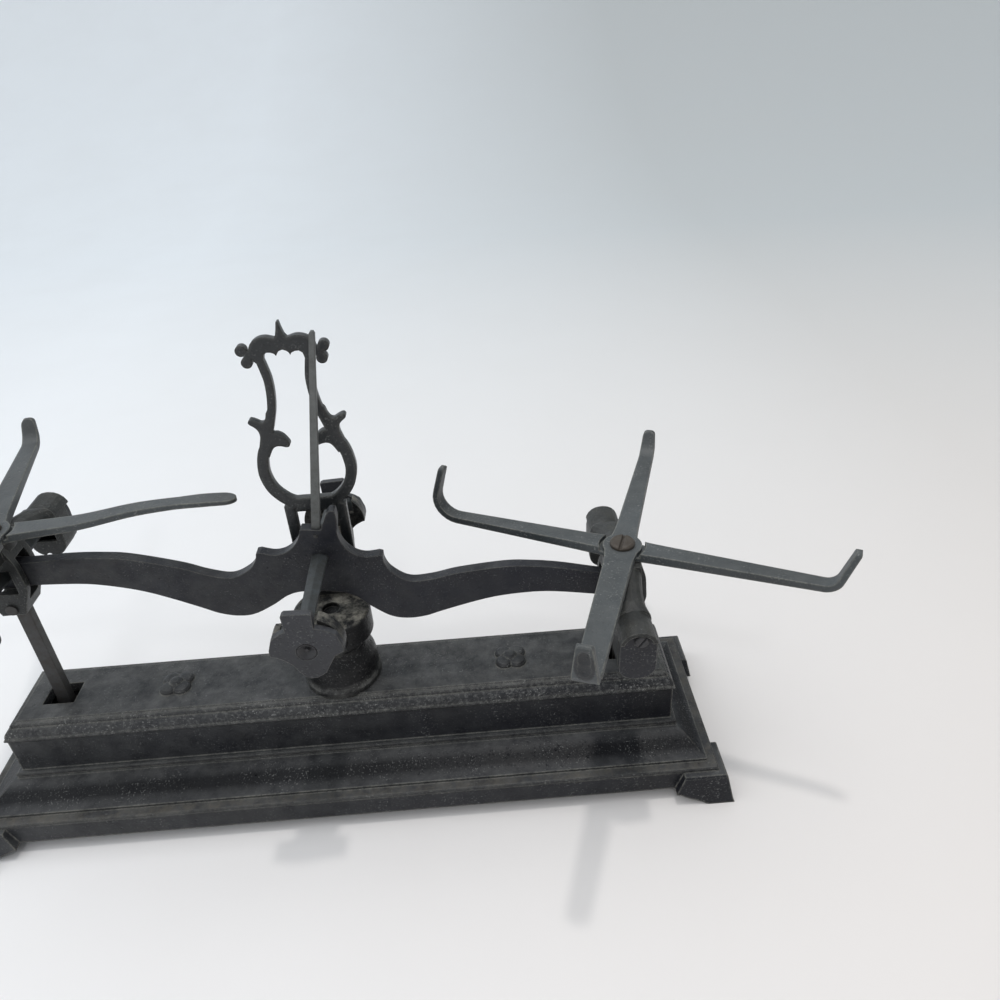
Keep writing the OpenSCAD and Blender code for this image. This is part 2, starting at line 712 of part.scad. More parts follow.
// A knife bar drawn in to its ends, with its edge straight
module knife_bar_of(half) {
    for (side = [0, 1]) mirror([0, side, 0]) rotate([90, 0, 0])
        linear_extrude(half, scale = knife_taper) children();
}

// The knives take their places in the beam's drawing with one module, and cut their holes with another
module end_knife_drawing(side) {
    translate([side * beam_arm, -end_drop]) mirror([0, 1]) knife_drawing();
}

function along_needle(h) = [-needle_shift + h * sin(needle_lean), h * cos(needle_lean)];

module pin_place() {
    translate(along_needle(tongue_height - tang_depth / 2)) circle(r = 0.8);
}

// The needle's tang, which a hole in the top of the tongue holds
module tang_drawing() {
    half = needle_wide / 2 - 0.4;
    low = tongue_height - tang_depth;
    high = tongue_height + 0.4;
    corners = [[-half, low], [half, low], [half, high], [-half, high]];
    polygon([for (p = corners) along_needle(p[1]) + [p[0], 0]]);
}

needle_half = needle_thick / 2;
needle_place = -0.5;

module beam() color(iron_black) {
    at_beam() difference() {
        across(-beam_thick / 2, beam_thick / 2) difference() {
            union() {
                polygon(backwards(concat(beam_outline(), mirrored(beam_outline()))));
                lug_drawing();
            }
            knife_drawing();
            end_knife_drawing(1);
            end_knife_drawing(-1);
            pin_place();
        }
        across(needle_place - needle_half, needle_place + needle_half) tang_drawing();
    }
}

module centre_knife() color(steel) {
    at_beam() knife_bar_of(centre_knife_half) knife_drawing();
}

module end_knife(side) {
    at_beam() translate([side * beam_arm, 0, -end_drop])
        knife_bar_of(end_knife_half) mirror([0, 1]) knife_drawing();
}

module end_knife_left() color(steel) end_knife(-1);

module end_knife_right() color(steel) end_knife(1);

module needle() color(iron_grey) {
    half_blade = [[needle_wide / 2, tongue_height + 0.05], [needle_wide / 2, tongue_height + 12],
                  [needle_narrow / 2, needle_height - 1], [needle_narrow / 4, needle_height]];
    at_beam() across(needle_place - needle_half, needle_place + needle_half) difference() {
        union() {
            polygon([for (p = concat(half_blade, mirrored(half_blade))) along_needle(p[1]) + [p[0], 0]]);
            tang_drawing();
        }
        pin_place();
    }
}

module needle_pin() color(steel) {
    face = beam_thick / 2;
    at_beam() across(-face - 0.3, face + 0.3) pin_place();
}

// Supports, drawn about the end edge with the outboard side at positive X

shield_half = support_wid / 2;
housing_out = end_reach - cover_thick;
housing_in = housing_out - housing_depth;

// Outline of an end housing and its cover: an upright shield with a round bottom
module shield(grow, top) {
    half = shield_half + grow;
    bottom = -shield_drop - grow;
    corner = half - 0.6;
    curve = half - 1.2;
    translate([-housing_shift, 0]) polygon(concat(
        arc(half - corner, top - corner, corner, corner, 0, 90, 5),
        arc(-half + corner, top - corner, corner, corner, 90, 180, 5),
        arc(-half + curve, bottom + curve, curve, curve, 180, 270, 8),
        arc(half - curve, bottom + curve, curve, curve, 270, 360, 8)));
}

module housing() {
    across(-housing_out, -housing_in) shield(0, hood_height);
    // hood over the cover
    across(-end_reach - 1.2, -housing_out) intersection() {
        shield(0, hood_height);
        translate([-support_wid, 1]) square([2 * support_wid, hood_height]);
    }
    // back wall, open where the knife comes in
    across(-housing_in - 0.01, -housing_in + housing_wall) difference() {
        shield(0, hood_height);
        translate([-knife_half - 2.5, -knife_bar - 4]) square([knife_bar + 5, knife_bar + 5]);
    }
}

// A slice across a strap: round above, flat below
module strap_slice(place, half, low, high, shift) {
    r = min(half, high - low - 1);
    translate([0, -place, 0]) across(-0.05, 0.05) translate([shift, 0]) polygon(concat(
        arc(half - r, high - r, r, r, 0, 90, 4), arc(-half + r, high - r, r, r, 90, 180, 4),
        [[-half, low], [half, low]]));
}

// A strap runs from the crown down to its housing, slender in the middle
module strap() {
    far = housing_in - housing_wall / 2;
    middle = (hub_r + far) / 2;
    crown_half = strap_wid / 2 + 2;
    slices = [[hub_r + 3, crown_half, seat_height - 6.6, seat_height - 0.3, 0],
              [middle, strap_wid / 2 + 0.6, seat_height - 8.6, seat_height - 2.2, 0],
              [far - 5, shield_half - 1.6, 1.6, hood_height + 2, -housing_shift * 0.7],
              [far, shield_half - 0.1, 1.2, hood_height - 0.1, -housing_shift]];
    translate([-crown_half, -hub_r - 3, seat_height - 6.6]) cube([2 * crown_half, hub_r + 3, 6.3]);
    for (i = [0:2]) hull() {
        strap_slice(slices[i][0], slices[i][1], slices[i][2], slices[i][3], slices[i][4]);
        strap_slice(slices[i + 1][0], slices[i + 1][1], slices[i + 1][2], slices[i + 1][3], slices[i + 1][4]);
    }
}

plate_in = beam_thick / 2 + plate_gap;
plate_out = plate_in + plate_thick;
plate_low = -knife_bar - 10;

// The plate beside the beam, with a window for the knife, drawn in X and Z
module plate_drawing() {
    half = plate_wid / 2;
    crown_half = hub_r - 1.5;
    difference() {
        polygon(concat(
            [[-crown_half, seat_height]],
            smooth([[-crown_half, seat_height - 2], [-half + 0.6, 4], [-half, -3], [-half, -9],
                    [-half + 3, plate_low]], 5),
            [[-half + 5, plate_low - 5], [half - 5, plate_low - 5]],
            smooth([[half - 3, plate_low], [half, -9], [half, -3], [half - 0.6, 4],
                    [crown_half, seat_height - 2]], 5),
            [[crown_half, seat_height - 2], [crown_half, seat_height]]));
        translate([-knife_half - 2.5, -knife_bar - 4]) square([knife_bar + 5, knife_bar + 5]);
    }
}

module support() {
    crown = beam_end_r - knife_half + 2;
    difference() {
        union() {
            strap();
            mirror([0, 1, 0]) strap();
            housing();
            mirror([0, 1, 0]) housing();
            for (side = [0, 1]) mirror([0, side, 0]) across(-plate_out, -plate_in) plate_drawing();
            across(-plate_out, plate_out) intersection() {
                plate_drawing();
                translate([-through, crown]) square([2 * through, through]);
            }
            across(-plate_out, plate_out) intersection() {
                plate_drawing();
                translate([-through, -through]) square([2 * through, through + plate_low + 1]);
            }
            translate([0, 0, seat_height - 4]) cylinder(r = hub_r, h = 4);
        }
        for (side = [0, 1]) mirror([0, side, 0]) across(-end_reach - 2, -housing_in)
            shield(-housing_wall, hood_height - housing_wall);
        translate([0, 0, seat_height - 6]) cylinder(r = cross_screw_r, h = 7);
        translate([-rod_wid / 2, -rod_thick / 2, plate_low - 6]) cube([rod_wid, rod_thick, 7]);
        translate([0, 0, plate_low - 2]) pin_across(rod_pin_r, -through, through);
    }
}

module support_left() color(iron_olive) at_left_end() support();

module support_right() color(iron_olive) at_right_end() support();

// Hard steel blocks with a roof-shaped groove that hangs on the knife
module end_bearings() {
    inner_half = shield_half;
    groove = 5;
    fall = groove / tan(groove_angle);
    top = hood_height - housing_wall;
    for (side = [0, 1]) mirror([0, side, 0]) across(-housing_out, -housing_in) difference() {
        intersection() {
            shield(-housing_wall, top);
            translate([-inner_half, -3.4]) square([2 * inner_half, top + 3.4]);
        }
        translate([0, edge_fit])
            polygon([[0, 0], [groove, -fall], [groove, -6], [-groove, -6], [-groove, -fall]]);
        translate([cover_screw_x, cover_screw_z]) circle(r = cover_screw_r);
    }
}

cover_screw_x = -0.4;
cover_screw_z = 2.15;

module end_bearings_left() color(steel) at_left_end() end_bearings();

module end_bearings_right() color(steel) at_right_end() end_bearings();

// A cover is as wide as its housing below the hood, and fits inside the hood above
module end_cover() {
    play = 0.1;
    across(-end_reach, -housing_out) difference() {
        shield(-2 * play, hood_height - housing_wall - play);
        difference() {
            translate([-support_wid, 1 - play]) square([2 * support_wid, 2 * hood_height]);
            shield(-housing_wall - play, hood_height - housing_wall - play);
        }
        translate([cover_screw_x, cover_screw_z]) circle(r = cover_screw_r);
    }
}

module end_cover_left_front() color(iron_dark) at_left_end() end_cover();

module end_cover_left_rear() color(iron_dark) at_left_end() mirror([0, 1, 0]) end_cover();

module end_cover_right_front() color(iron_dark) at_right_end() end_cover();

module end_cover_right_rear() color(iron_dark) at_right_end() mirror([0, 1, 0]) end_cover();

module end_cover_screws() {
    length = cover_thick + housing_depth - 1.6;
    for (side = [0, 1]) mirror([0, side, 0])
        translate([cover_screw_x, -end_reach, cover_screw_z]) rotate([90, 0, 0]) {
            translate([0, 0, 0.4 - length]) cylinder(r = cover_screw_r, h = length);
            rotate(55) slotted_head(cover_head_r, 1.4, 0.9);
        }
}

module end_cover_screws_left() color(screw_brown) at_left_end() end_cover_screws();

module end_cover_screws_right() color(screw_brown) at_right_end() end_cover_screws();

// Flat rod from the support down to its eye on the stay
module rod() {
    across(-rod_thick / 2, rod_thick / 2) difference() {
        union() {
            translate([-rod_wid / 2, -rod_drop]) square([rod_wid, rod_drop + plate_low + 1]);
            translate([0, -rod_drop]) circle(r = stay_eye_r);
        }
        translate([0, -rod_drop]) circle(r = rod_pin_r + loose_fit);
        translate([0, plate_low - 2]) circle(r = rod_pin_r);
    }
}

module rod_left() color(steel) at_left_end() rod();

module rod_right() color(steel) at_right_end() rod();

module rod_rivet() {
    translate([0, 0, plate_low - 2]) {
        pin_across(rod_pin_r, -plate_out, plate_out);
        pin_across(rod_pin_r + 0.9, -plate_out - 0.8, -plate_out);
        pin_across(rod_pin_r + 0.9, plate_out, plate_out + 0.8);
    }
}

module rod_rivet_left() color(steel) at_left_end() rod_rivet();

module rod_rivet_right() color(steel) at_right_end() rod_rivet();

module cross_screw() {
    translate([0, 0, seat_height - 5]) cylinder(r = cross_screw_r, h = bar_thick + 5 + 2 * edge_fit);
    translate([0, 0, seat_height + bar_thick + 2 * edge_fit]) rotate(69) slotted_head(cross_head_r, 2, 1.3);
}

module cross_screw_left() color(screw_brown) at_left_end() cross_screw();

module cross_screw_right() color(screw_brown) at_right_end() cross_screw();

// Crosses

// Plan of an arm, from inside the hub to past its tip
module arm_plan(wide, narrow, reach, far) {
    root = hub_r * 0.6;
    polygon(concat(
        smooth([[root, -wide / 2 - 0.8], [hub_r * 1.6, -wide / 2 + 0.2], [reach * 0.5, -(wide + narrow) / 4],
                [reach, -narrow / 2]], 4),
        [[reach, -narrow / 2], [far, -narrow / 2], [far, narrow / 2]],
        smooth([[reach, narrow / 2], [reach * 0.5, (wide + narrow) / 4], [hub_r * 1.6, wide / 2 - 0.2],
                [root, wide / 2 + 0.8]], 4),
        [[root, wide / 2 + 0.8]]));
}

// Side view of an arm: flat on top, thinner towards the bend, and turned up into a tip
function arm_side(reach, bend, lean, length) =
    let (turn = 90 - lean,
         centre = [reach, bar_thick + bend],
         up = [sin(lean), cos(lean)],
         out = [cos(lean), -sin(lean)],
         inner_end = centre + out * bend + up * length,
         r = tip_thick / 2,
         tip_middle = inner_end + out * r)
    concat(
        [[hub_r * 0.6, bar_thick], [hub_r * 0.6, 0], [hub_r * 1.6, 0], [reach - 1, bar_thick - arm_thin]],
        [for (i = [0:8]) let (a = -90 + turn * i / 8, w = arm_thin + (tip_thick - arm_thin) * i / 8)
            centre + (bend + w) * [cos(a), sin(a)]],
        [for (i = [0:6]) let (a = -lean + 180 * i / 6) tip_middle + r * [cos(a), sin(a)]],
        [for (i = [8:-1:0]) let (a = -90 + turn * i / 8) centre + bend * [cos(a), sin(a)]]);

// Height of a tip's end above the underside of the bar
function tip_top(bend, lean, length) =
    bar_thick + bend - sin(lean) * (bend + tip_thick / 2) + length * cos(lean) + tip_thick / 2;

// An arm is what its plan, its side view and the view along it have in common
module arm(wide, narrow, reach, bend, lean, length, end_wid) {
    top = tip_top(bend, lean, length);
    intersection() {
        translate([0, 0, -1]) linear_extrude(top + 2) arm_plan(wide, narrow, reach, reach + 40);
        across(-wide, wide) polygon(arm_side(reach, bend, lean, length));
        along(through) polygon(concat(
            [[-wide, -1], [wide, -1], [wide, bar_thick + 0.1], [narrow / 2 + 0.1, bar_thick + 0.1]],
            arc(0, top - end_wid / 2, end_wid / 2, end_wid / 2, 10, 170, 8),
            [[-narrow / 2 - 0.1, bar_thick + 0.1], [-wide, bar_thick + 0.1]]));
    }
}

// The broad tip seen along its arm: round corners below, narrower above
module paddle_drawing(top) {
    half = paddle_wid / 2;
    end_half = half * 0.66;
    low = 2.6;
    polygon(concat(
        arc(half - low, low, low, low, -90, 0, 5), [[half, top * 0.36]],
        arc(end_half - 1.8, top - 1.8, 1.8, 1.8, 10, 90, 4),
        arc(-end_half + 1.8, top - 1.8, 1.8, 1.8, 90, 170, 4),
        [[-half, top * 0.36]], arc(-half + low, low, low, low, 180, 270, 5)));
}

// The arm that ends in the broad tip, which has a hollow in its outer face
module paddle_arm(reach, bend, lean, length) {
    top = tip_top(bend, lean, length);
    middle = (top + bar_thick) / 2;
    face_x = reach + bend + arm_thin + (middle - bar_thick - bend) * tan(lean) + 0.2;
    difference() {
        intersection() {
            across(-upper_wide, upper_wide) polygon(arm_side(reach, bend, lean, length));
            union() {
                translate([0, 0, -1]) linear_extrude(bar_thick + 2)
                    arm_plan(upper_wide, upper_narrow, reach - 2, reach);
                translate([reach - 4, 0, 0]) rotate([90, 0, 90]) linear_extrude(40) paddle_drawing(top);
            }
        }
        // the hollow
        translate([face_x + 2.6, 0, middle - 2.4]) scale([0.8, 1, 1.5]) sphere(r = 5, $fn = 32);
        translate([face_x + 3, 0, middle + 2.2]) scale([1.1, 1, 1.9]) sphere(r = 4, $fn = 32);
    }
}

// The left cross's inner arm: its end opened out flat, and the whole bowed a little upwards
module opened_arm(wide, narrow) {
    length = bar_reach * 1.15;
    path = [[hub_r * 0.6, bar_thick / 2], [hub_r * 1.8, bar_thick / 2 + 0.3], [length * 0.36, bow_rise * 0.6],
            [length * 0.6, bow_rise + 0.8], [length * 0.84, bow_rise + 1], [length, bow_rise - 0.2]];
    blade = narrow / 2 + 0.7;
    intersection() {
        across(-wide, wide) polygon(band(concat(smooth(path), [path[5]]), bar_thick - 0.4, tip_thick - 0.8));
        translate([0, 0, -1]) linear_extrude(bow_rise + 9) {
            arm_plan(wide, narrow, length * 0.8, length * 0.8 + 1);
            polygon(concat(
                [[length * 0.75, -narrow / 2], [length * 0.85, -blade]],
                arc(length - 6, 0, 6, blade, -90, 90, 10),
                [[length * 0.85, blade], [length * 0.75, narrow / 2]]));
        }
    }
}

// Cuts a bar to half its thickness where the other one laps it, and bores it for the screw
module lapped(lap_from) {
    difference() {
        union() {
            children();
            cylinder(r = hub_r, h = bar_thick);
        }
        translate([0, 0, lap_from]) cylinder(r = hub_r + 1.6, h = bar_thick / 2 + 1);
        translate([0, 0, -1]) cylinder(r = cross_screw_r + run_fit, h = bar_thick + 2);
    }
}

// The lower bar's outer arm is the same on both crosses
module lower_bar() {
    translate([0, 0, seat_height + edge_fit]) lapped(bar_thick / 2 - lap_gap) {
        arm(lower_wide, lower_narrow, bar_reach * 0.95, bend_r, 17, 14, tip_wid);
        rotate(180) arm(lower_wide, lower_narrow, bar_reach * 0.9, slow_bend_r, -16, 13, tip_wid);
    }
}

module lower_bar_opened() {
    translate([0, 0, seat_height + edge_fit]) lapped(bar_thick / 2 - lap_gap) {
        opened_arm(lower_wide, lower_narrow);
        rotate(180) arm(lower_wide, lower_narrow, bar_reach * 0.88, slow_bend_r, -16, 10, tip_wid);
    }
}

module upper_bar() {
    translate([0, 0, seat_height + edge_fit]) rotate(bar_angle) lapped(-1) {
        arm(back_wide, lower_narrow + 1, bar_reach * 0.9, slow_bend_r, 33, 6, tip_wid + 1.6);
        rotate(180) paddle_arm(bar_reach * 0.905, bend_r, 4, 13);
    }
}

module at_left_cross() {
    translate([left_end_x, 0, left_end_z]) rotate(left_cross_turn) children();
}

module at_right_cross() {
    at_right_end() rotate(right_cross_turn) children();
}

module cross_left_lower_bar() color(iron_grey) at_left_cross() lower_bar_opened();

module cross_left_upper_bar() color(iron_grey) at_left_cross() upper_bar();

module cross_right_lower_bar() color(iron_grey) at_right_cross() lower_bar();

module cross_right_upper_bar() color(iron_grey) at_right_cross() upper_bar();

// Stay and its bracket

module at_stay() {
    translate([0, 0, stay_z]) rotate([0, beam_tilt, 0]) children();
}

module stay() color(steel) {
    fork_in = rod_thick / 2 + side_fit;
    eye_in = stay_eye_r - 0.7;
    at_stay() difference() {
        across(-stay_wid / 2, stay_wid / 2) difference() {
            union() {
                polygon([[-12, -stay_tall / 2], [12, -stay_tall / 2], [beam_arm, -end_drop - eye_in],
                    [beam_arm, -end_drop + eye_in], [12, stay_tall / 2], [-12, stay_tall / 2],
                    [-beam_arm, -end_drop + eye_in], [-beam_arm, -end_drop - eye_in]]);
                for (side = [-1, 1]) translate([side * beam_arm, -end_drop]) circle(r = stay_eye_r);
                circle(r = stay_pin_r + 2.6);
            }
            circle(r = stay_pin_r + run_fit);
            for (side = [-1, 1]) translate([side * beam_arm, -end_drop]) circle(r = rod_pin_r);
        }
        for (side = [-1, 1]) translate([side * beam_arm - 8, -fork_in, -end_drop - 20])
            cube([16, 2 * fork_in, 40]);
    }
}

module stay_end_pins() color(steel) {
    at_stay() for (side = [-1, 1]) translate([side * beam_arm, 0, -end_drop])
        pin_across(rod_pin_r, -stay_wid / 2, stay_wid / 2);
}

module stay_bracket() color(iron_dark) {
    plate = 3;
    lug_in = stay_wid / 2 + side_fit;
    lug_out = lug_in + plate;
    lug_half = stay_pin_r + 3.5;
    difference() {
        union() {
            translate([-14, -lug_out, ceiling - plate]) cube([28, 2 * lug_out, plate]);
            for (side = [0, 1]) mirror([0, side, 0]) across(-lug_out, -lug_in) union() {
                translate([-lug_half, stay_z]) square([2 * lug_half, ceiling - stay_z]);
                translate([0, stay_z]) circle(r = lug_half);
            }
        }
        translate([0, 0, stay_z]) pin_across(stay_pin_r, -through, through);
        translate([0, 0, ceiling - plate - 1]) cylinder(r = bolt_r, h = plate + 2);
    }
}

module stay_pin() color(steel) {
    half = stay_wid / 2 + side_fit + 3;
    translate([0, 0, stay_z]) {
        pin_across(stay_pin_r, -half, half);
        pin_across(stay_pin_r + 1, -half - 1, -half);
        pin_across(stay_pin_r + 1, half, half + 1);
    }
}

base_casting();
column();
column_bolt();
stay_bracket();
stay_pin();
lyre();
lyre_screws();
centre_bearing_front();
centre_bearing_rear();
centre_cover_front();
centre_cover_rear();
centre_cover_screws();
beam();
needle();
needle_pin();
centre_knife();
end_knife_left();
end_knife_right();
support_left();
support_right();
end_bearings_left();
end_bearings_right();
end_cover_left_front();
end_cover_left_rear();
end_cover_right_front();
end_cover_right_rear();
end_cover_screws_left();
end_cover_screws_right();
rod_left();
rod_right();
rod_rivet_left();
rod_rivet_right();
cross_screw_left();
cross_screw_right();
cross_left_lower_bar();
cross_left_upper_bar();
cross_right_lower_bar();
cross_right_upper_bar();
stay();
stay_end_pins();
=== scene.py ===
"""Looks of the counter balance: blackened, dusty cast iron on a pale seamless floor. Lengths are in metres."""

import math
from fnmatch import fnmatchcase
from types import SimpleNamespace

import bpy
from mathutils import Matrix, Vector

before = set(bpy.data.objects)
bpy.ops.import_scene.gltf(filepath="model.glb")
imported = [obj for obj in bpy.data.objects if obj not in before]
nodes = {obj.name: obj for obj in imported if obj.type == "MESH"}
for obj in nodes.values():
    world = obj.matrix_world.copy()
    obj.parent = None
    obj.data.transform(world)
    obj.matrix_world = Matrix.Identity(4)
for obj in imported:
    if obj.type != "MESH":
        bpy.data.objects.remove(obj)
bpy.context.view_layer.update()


# ---------------------------------------------------------------- camera
LENS_MM, SENSOR_MM = 28.8, 36.0
PITCH, ROLL, YAW = (math.radians(angle) for angle in (32.27, 3.68, 1.27))
CAMERA_AT = Vector((0.07311, -0.28416, 0.32213))
CLIP_NEAR, CLIP_FAR = 0.01, 20.0


def add_camera():
    """The photograph's camera, fitted to the base's edges and corners."""
    look = Vector((math.sin(YAW) * math.cos(PITCH), math.cos(YAW) * math.cos(PITCH), -math.sin(PITCH)))
    level_right = Vector((math.cos(YAW), -math.sin(YAW), 0.0))
    level_up = level_right.cross(look)
    right = math.cos(ROLL) * level_right - math.sin(ROLL) * level_up
    up = math.sin(ROLL) * level_right + math.cos(ROLL) * level_up
    data = bpy.data.cameras.new("camera")
    data.sensor_width, data.lens = SENSOR_MM, LENS_MM
    data.clip_start, data.clip_end = CLIP_NEAR, CLIP_FAR
    camera = bpy.data.objects.new("camera", data)
    turn = Matrix((right, up, -look)).transposed()
    camera.matrix_world = Matrix.Translation(CAMERA_AT) @ turn.to_4x4()
    bpy.context.scene.collection.objects.link(camera)
    bpy.context.scene.camera = camera


# ---------------------------------------------------------------- node helpers
MIX_FACTOR, MIX_A, MIX_B, MIX_COLOUR = 0, 6, 7, 2  # sockets of the Mix node when it mixes colours


class Graph:
    """Adds shader nodes to a tree. An input is given by its number, or by its name with _ for spaces."""

    def __init__(self, tree):
        self.tree = tree
        tree.nodes.clear()

    def add(self, kind, **inputs):
        node = self.tree.nodes.new(kind)
        for key, value in inputs.items():
            self.feed(node, key, value)
        return node

    def feed(self, node, key, value):
        """Link a socket to the input, or set the input's own value."""
        socket = node.inputs[key if isinstance(key, int) else key.replace("_", " ")]
        if isinstance(value, bpy.types.NodeSocket):
            self.tree.links.new(value, socket)
        else:
            socket.default_value = value

    def math(self, operation, a, b=0.0, clamp=False):
        node = self.tree.nodes.new("ShaderNodeMath")
        node.operation, node.use_clamp = operation, clamp
        self.feed(node, 0, a)
        self.feed(node, 1, b)
        return node.outputs[0]

    def times(self, a, b, clamp=False):
        return self.math("MULTIPLY", a, b, clamp)

    def plus(self, a, b, clamp=False):
        return self.math("ADD", a, b, clamp)

    def minus(self, a, b):
        return self.math("SUBTRACT", a, b)

    def most(self, a, b, clamp=False):
        return self.math("MAXIMUM", a, b, clamp)

    def squared(self, a):
        return self.math("POWER", a, 2.0)

    def dot(self, a, b):
        node = self.tree.nodes.new("ShaderNodeVectorMath")
        node.operation = "DOT_PRODUCT"
        self.feed(node, 0, a)
        self.feed(node, 1, b)
        return node.outputs["Value"]

    def ramp(self, value, start, end):
        """0 at start and 1 at end, which may be the lower one."""
        return self.add("ShaderNodeMapRange", Value=value, From_Min=start, From_Max=end).outputs[0]

    def between(self, value, low, high, fade):
        """1 from low to high, with each limit spread over fade on either side."""
        return self.times(self.ramp(value, low - fade, low + fade), self.ramp(value, high + fade, high - fade))

    def mix(self, factor, a, b):
        node = self.tree.nodes.new("ShaderNodeMix")
        node.data_type = "RGBA"
        self.feed(node, MIX_FACTOR, factor)
        self.feed(node, MIX_A, a)
        self.feed(node, MIX_B, b)
        return node.outputs[MIX_COLOUR]

    def noise(self, where, scale, detail, rough=0.55):
        node = self.add("ShaderNodeTexNoise", Vector=where, Scale=scale, Detail=detail, Roughness=rough)
        return node.outputs["Fac"]

    def cells(self, where, scale):
        """The distance to the nearest of many scattered points."""
        return self.add("ShaderNodeTexVoronoi", Vector=where, Scale=scale, Randomness=1.0).outputs["Distance"]

    def soft_normal(self, radius, samples):
        node = self.add("ShaderNodeBevel", Radius=radius)
        node.samples = samples
        return node.outputs["Normal"]

    def bump(self, normal, height, distance, strength):
        node = self.add("ShaderNodeBump", Strength=strength, Distance=distance, Height=height, Normal=normal)
        return node.outputs["Normal"]


def surface(name):
    """A new material's graph."""
    mat = bpy.data.materials.new(name)
    mat.use_nodes = True
    g = Graph(mat.node_tree)
    g.mat = mat
    return g


def finish(g, **inputs):
    """Close a material's graph with its shader and output."""
    shader = g.add("ShaderNodeBsdfPrincipled", **inputs)
    g.add("ShaderNodeOutputMaterial", Surface=shader.outputs[0])
    return g.mat


def rgb(r, g, b):
    """A colour written in 0..255 screen values, as linear light."""
    return tuple(pow(v / 255.0, 2.2) for v in (r, g, b)) + (1.0,)


def shade(colour, factor):
    """A screen colour made darker or lighter, as linear light."""
    return rgb(*[v * factor for v in colour])


# ---------------------------------------------------------------- cast iron
BELT_FADE, SHADE_BAND_FADE, ZONE_FADE = 0.0003, 0.0008, 0.0005
BELT_RELIEF = 0.0008
LEFT_END, RIGHT_END = -0.16, 0.16  # standing faces are painted paler towards the left, as painted light: the light comes from the left
FIBRE_WIDTH = (0.012, 0.003)
HOLLOW_HALF_WIDE, HOLLOW_HALF_TALL = 0.0042, 0.0078
TIP_STARTS = (0.06, 0.07)  # distance from the cross's screw
# dark grey painted as shade into the hollow of a broad tip
HOLLOW_SHADE = (30, 31, 34)


def textures(g, where):
    """The noises that the layers of the iron share, from clouds to specks."""
    return SimpleNamespace(
        cloud=g.noise(where, 26.0, 5.0, 0.6),
        near=g.ramp(g.noise(where, 48.0, 3.0, 0.6), 0.4, 0.62),
        patch=g.noise(where, 110.0, 6.0, 0.65),
        curl=g.noise(where, 330.0, 1.0, 0.5),
        grain=g.noise(where, 620.0, 5.0, 0.7),
        speck=g.noise(where, 1250.0, 2.0, 0.5),
        pit=g.cells(where, 520.0),
        chip=g.cells(where, 210.0),
    )


def hollow(g, where, height, normal, hub, turned, level):
    """How deep a point lies in the hollow of a cross's broad tip, where shade is painted: an oval in the middle
    of its outer face.
    """
    out = (math.cos(math.radians(turned)), math.sin(math.radians(turned)), 0.0)
    across = (-out[1], out[0], 0.0)
    x, y = hub
    aside = g.minus(g.dot(where, across), across[0] * x + across[1] * y)
    aside = g.squared(g.times(aside, 1 / HOLLOW_HALF_WIDE))
    above = g.squared(g.times(g.minus(height, level), 1 / HOLLOW_HALF_TALL))
    oval = g.ramp(g.plus(aside, above), 1.0, 0.72)
    faces_out = g.ramp(g.dot(normal, out), 0.3, 0.6)
    reach = g.minus(g.dot(where, out), out[0] * x + out[1] * y)
    return g.times(g.times(oval, faces_out), g.ramp(reach, *TIP_STARTS))


